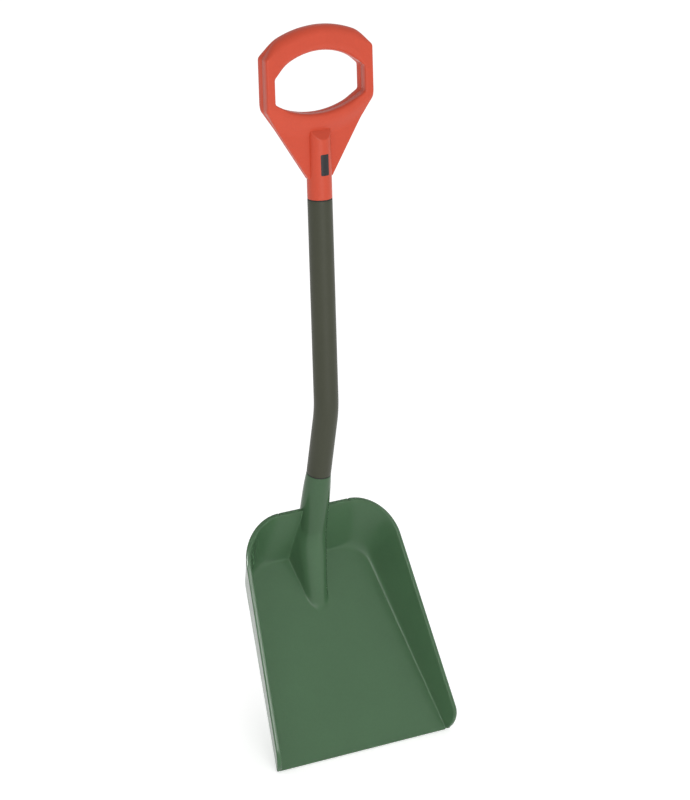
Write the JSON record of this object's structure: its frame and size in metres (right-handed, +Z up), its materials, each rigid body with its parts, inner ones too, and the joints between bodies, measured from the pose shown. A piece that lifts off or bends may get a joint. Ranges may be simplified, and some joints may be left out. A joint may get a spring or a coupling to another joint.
{
  "type": "scoop shovel",
  "caption": "Small grain scoop shovel: flat-floored moulded scoop with raised sides, bent tubular shaft and a D grip.",
  "frame": {"origin": "centre of the tool's bounding box in X and Y, at the height of the scoop's front edge", "axes": "+Z up along the straight upper shaft to the grip, -Y towards the scoop's open side, X = 0 the plane of symmetry"},
  "size_m": [0.2756, 0.158, 0.9509],
  "materials": {
    "scoop_plastic": "satin moulded, dark green",
    "shaft_coating": "satin powder coat, dark olive grey",
    "grip_plastic": "satin moulded, orange red",
    "label_plastic": "satin, near black, blank",
    "seal_rubber": "matt black",
    "rivet_steel": "plain"
  },
  "bodies": {
    "root": {"scoop": "scoop_plastic", "shaft_tube": "shaft_coating", "grip_front_half": "grip_plastic", "grip_rear_half": "grip_plastic", "label_plate": "label_plastic", "scoop_joint_seal": "seal_rubber", "grip_joint_seal": "seal_rubber", "scoop_rivet": "rivet_steel", "grip_rivet": "rivet_steel"}
  },
  "joints": []
}
